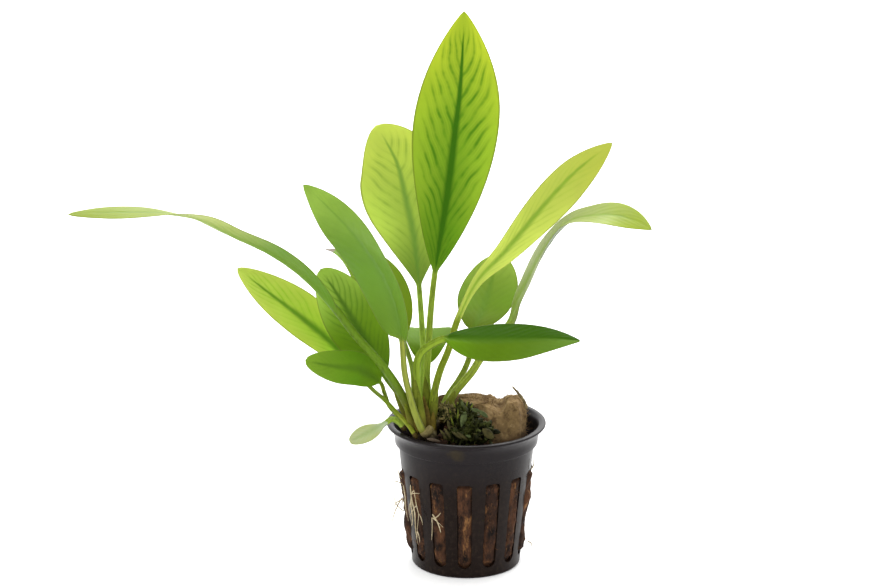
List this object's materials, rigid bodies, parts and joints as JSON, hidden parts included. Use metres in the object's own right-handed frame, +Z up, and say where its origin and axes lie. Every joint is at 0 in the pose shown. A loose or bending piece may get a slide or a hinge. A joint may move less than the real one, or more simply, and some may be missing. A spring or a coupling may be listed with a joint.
{
  "type": "potted anubias",
  "caption": "Young water plant with lance-shaped leaves on slender stalks, growing from a creeping stem in a slotted black net pot of brown rock wool.",
  "frame": {"origin": "centre of the pot's underside, on the surface that it stands on", "axes": "+Z up the plant, +X to the right of the view in the picture, +Y away from that view"},
  "size_m": [0.1847, 0.1218, 0.1899],
  "materials": {
    "black_plastic": "near-black moulded plastic with a soft sheen",
    "rock_wool": "matt brown fibres",
    "rhizome": "dull beige-brown skin",
    "moss": "dark green and matt",
    "leaf_green": "satin mid green",
    "leaf_yellow_green": "satin yellow-green, translucent",
    "leaf_pale": "satin pale green",
    "dry_stalk": "dry and matt",
    "root": "matt cream"
  },
  "bodies": {
    "root": {"net_pot": "black_plastic", "wool_plug": "rock_wool", "rhizome": "rhizome", "moss_clump": "moss", "leaf_tall": "leaf_yellow_green", "leaf_back_left": "leaf_yellow_green", "leaf_front_dark": "leaf_green", "leaf_behind_dark": "leaf_green", "leaf_wide_left": "leaf_green", "leaf_long_arch": "leaf_pale", "leaf_left_lit": "leaf_yellow_green", "leaf_low_left": "leaf_green", "leaf_small_pale": "leaf_pale", "leaf_slender_right": "leaf_yellow_green", "leaf_arch_right": "leaf_pale", "leaf_round_back": "leaf_green", "leaf_level_right": "leaf_green", "leaf_centre_back": "leaf_green", "dead_stalk": "dry_stalk", "root_long": "root", "root_crossing": "root", "root_side": "root"}
  },
  "joints": []
}
